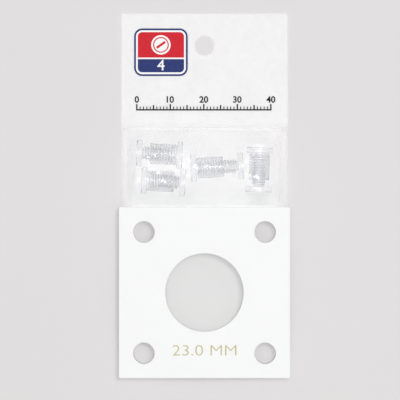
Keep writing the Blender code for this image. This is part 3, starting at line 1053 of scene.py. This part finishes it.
def header_patch(name, loops, cell, finish, lift, thickness):
    """A sheet that fills the loops and follows the header, lifted off its underside."""
    points, faces = flat_triangles(loops, cell)
    x, y = np.array(points).T
    z = header_level(x, y) + lift
    return thicken(mesh_object(name, np.stack([x, y, z], axis=1).tolist(), faces, finish), thickness)


def on_header(name, loops, finish):
    """A patch of ink that follows the header's upper side."""
    return header_patch(name, loops, INK_CELL, finish, HEADER_THICKNESS + INK_LIFT, INK_THICKNESS)


def number_on_header(name, words, height, middle, finish, lift, thinning):
    """A printed number that follows the header's upper side."""
    obj = text_mesh(name, words, height, middle, finish, thinning)
    for vertex in obj.data.vertices:
        x, y = vertex.co.x, vertex.co.y
        vertex.co.z = float(header_level(np.array(x), np.array(y))) + HEADER_THICKNESS + lift
    return thicken(obj, INK_THICKNESS)


def joined(name, pieces):
    """Several meshes as one object."""
    first = pieces[0]
    for obj in bpy.context.view_layer.objects:
        obj.select_set(obj in pieces)
    bpy.context.view_layer.objects.active = first
    bpy.ops.object.join()
    first.name = name
    first.data.name = name
    return first


def slot_loop(middle):
    """The leaning bar that stands for the slot in the badge's screw head."""
    half = SIGN_SLOT_LENGTH / 2
    side = SIGN_SLOT_WIDTH / 2
    across, up = math.cos(SIGN_SLOT_TURN), math.sin(SIGN_SLOT_TURN)
    return [
        (middle[0] + x * across - y * up, middle[1] + x * up + y * across)
        for x, y in ((half, side), (-half, side), (-half, -side), (half, -side))
    ]


def build_badge():
    """A plain two-colour label tile: a slotted screw head over the number of screws."""
    red = ink_finish("red_ink", (0.62, 0.022, 0.035))
    blue = ink_finish("blue_ink", (0.03, 0.045, 0.17))
    white = ink_finish("white_ink", (0.9, 0.9, 0.9))
    x, y = BADGE_MIDDLE
    width, height = BADGE_WIDTH, BADGE_HEIGHT
    outer = rounded_rectangle(width, height, BADGE_CORNER, BADGE_MIDDLE)
    inset = 2 * BADGE_BORDER
    tile = rounded_rectangle(width - inset, height - inset, BADGE_CORNER - BADGE_BORDER, BADGE_MIDDLE)
    keyline = rounded_rectangle(width - 2 * inset, height - 2 * inset, BADGE_CORNER - inset, BADGE_MIDDLE)
    band_top = y - height / 2 + inset + BADGE_BAND
    upper = [(px, max(py, band_top)) for px, py in keyline]
    lower = [(px, min(py, band_top - BADGE_BAND_GAP)) for px, py in keyline]
    head_middle = (x, band_top + (y + height / 2 - inset - band_top) / 2)
    head, rim, disc = (circle(radius, SIGN_SIDES, head_middle) for radius in SIGN_RADII)
    slot = slot_loop(head_middle)
    pieces = [
        on_header("badge_border", [outer, tile], blue),
        on_header("badge_keyline", [tile, upper, lower], white),
        on_header("badge_field", [upper, head, rim, disc, slot], red),
        on_header("badge_head_ring", [head, rim], white),
        on_header("badge_head_disc", [disc, slot], white),
        on_header("badge_band", [lower], blue),
    ]
    band_middle = (x, (y - height / 2 + inset + band_top) / 2)
    lift = INK_LIFT + INK_THICKNESS + BADGE_NUMBER_LIFT
    pieces.append(number_on_header(
        "badge_count", BADGE_NUMBER, BADGE_NUMBER_HEIGHT, band_middle, white, lift, BADGE_NUMBER_THINNING
    ))
    return joined("print_badge", pieces)


def build_scale():
    """A printed millimetre scale: a line with its ticks, and a plain number at each ten."""
    black = ink_finish("black_ink", (0.012, 0.012, 0.014))
    x0, y0 = SCALE_START
    foot = y0 + SCALE_LINE
    comb = [(x0 - SCALE_LINE / 2, y0), (x0 + SCALE_LENGTH * MM + SCALE_LINE / 2, y0)]
    numbers = []
    for step in range(SCALE_LENGTH, -1, -1):
        reach = TEN_TICK if step % 10 == 0 else FIVE_TICK if step % 5 == 0 else ONE_TICK
        half = (SCALE_LINE if step % 5 == 0 else SCALE_THIN_LINE) / 2
        x = x0 + step * MM
        comb += [(x + half, foot), (x + half, foot + reach), (x - half, foot + reach), (x - half, foot)]
        if step % 10 == 0:
            middle = (x, y0 + SCALE_NUMBER_RISE)
            numbers.append(number_on_header(
                f"scale_number_{step}", str(step), SCALE_NUMBER_HEIGHT, middle, black, INK_LIFT,
                SCALE_NUMBER_THINNING
            ))
    return joined("print_scale", [on_header("scale_line", [comb], black), *numbers])


def build_header():
    """The milky header with its hang hole, and the print on it."""
    low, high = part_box("bag_header")
    foot = ("Y", low.y + FOOT_FADE, low.y, FOOT_HAZE)
    finish = film_finish(
        "header_film_milky", (0.945, 0.945, 0.952), haze=0.53, rough=0.45, shine=0.15, passed=0.5, aslant=0.2,
        thin=(foot,)
    )
    middle = ((low.x + high.x) / 2, (low.y + high.y) / 2)
    size = (high.x - low.x, high.y - low.y)
    outline = rounded_rectangle(*size, HEADER_CORNER, middle, HEADER_CORNER_STEPS)
    hole = circle(HANG_HOLE_DIAMETER / 2, HANG_HOLE_SIDES, (0.0, high.y - HANG_HOLE_DROP))
    sheet = header_patch("header_sheet", [outline, hole], HEADER_CELL, finish, 0.0, HEADER_THICKNESS)
    prints = [build_badge(), build_scale()]
    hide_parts("bag_header")
    for made in (sheet, *prints):
        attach(made, "bag")


# The stage.
def build_stage():
    half = FLOOR_SIDE / 2
    corners = [(-half, -half, 0.0), (half, -half, 0.0), (half, half, 0.0), (-half, half, 0.0)]
    floor = mesh_object("floor", corners, [(0, 1, 2, 3)], floor_finish())
    floor.location.z = -FLOOR_DROP


def soft_lamp(name, height, lean, size, level):
    """A round soft lamp, so strong that a white floor under it would be as bright as level."""
    data = bpy.data.lights.new(name, "AREA")
    data.shape = "DISK"
    data.size = size
    lamp = link(bpy.data.objects.new(name, data))
    target = Vector((*VIEW_MIDDLE, 0.0))
    reach = height * Vector((*lean, 1.0))
    lamp.location = target + reach
    lamp.rotation_euler = reach.to_track_quat("Z", "Y").to_euler()
    data.energy = level * math.pi**2 * reach.length**3 / height
    return lamp


def build_light():
    """A soft leaning key lamp, a lamp overhead that leaves no glare, and a room that glows overhead."""
    soft_lamp("key", KEY_HEIGHT, KEY_LEAN, KEY_SIZE, KEY_LEVEL)
    overhead = soft_lamp("overhead", OVERHEAD_HEIGHT, OVERHEAD_LEAN, OVERHEAD_SIZE, OVERHEAD_LEVEL)
    overhead.visible_glossy = False
    overhead.visible_transmission = False
    world = bpy.data.worlds.new("studio")
    world.use_nodes = True
    tree = world.node_tree
    direction = tree.nodes.new("ShaderNodeTexCoord")
    split = tree.nodes.new("ShaderNodeSeparateXYZ")
    tree.links.new(direction.outputs["Generated"], split.inputs["Vector"])
    climb = tree.nodes.new("ShaderNodeMapRange")
    climb.inputs["From Min"].default_value = -1.0
    tree.links.new(split.outputs["Z"], climb.inputs["Value"])
    ramp = tree.nodes.new("ShaderNodeValToRGB")
    stops = ramp.color_ramp.elements
    stops[0].color = (BELOW_LEVEL, BELOW_LEVEL, BELOW_LEVEL, 1.0)
    stops[1].color = (ZENITH_LEVEL, ZENITH_LEVEL, ZENITH_LEVEL, 1.0)
    for height, level in (
        (BELOW_END, BELOW_LEVEL), (0.0, HORIZON_LEVEL), (SKY_START, SKY_LEVEL), (ZENITH_START, SKY_LEVEL)
    ):
        stops.new((height + 1) / 2).color = (level, level, level, 1.0)
    tree.links.new(climb.outputs["Result"], ramp.inputs["Fac"])
    tree.links.new(ramp.outputs["Color"], tree.nodes["Background"].inputs["Color"])
    bpy.context.scene.world = world


def build_camera():
    """A far camera straight above, framed as the photo is."""
    data = bpy.data.cameras.new("camera")
    data.sensor_width = SENSOR
    data.lens = LENS
    camera = link(bpy.data.objects.new("camera", data))
    camera.location = (*VIEW_MIDDLE, VIEW_WIDTH * LENS / SENSOR)
    bpy.context.scene.camera = camera


def main():
    scene = bpy.context.scene
    scene.view_settings.view_transform = "Standard"
    scene.cycles.max_bounces = MAX_BOUNCES
    scene.cycles.transmission_bounces = MAX_BOUNCES
    scene.cycles.transparent_max_bounces = MAX_CLEAR_BOUNCES
    scene.cycles.caustics_refractive = False
    scene.cycles.caustics_reflective = False
    build_camera()
    build_light()
    build_stage()
    sets = [ScrewSet(number) for number in range(1, 5)]
    build_plates()
    build_mark()
    build_screw_sets(sets)
    build_films(sets)
    build_header()


main()
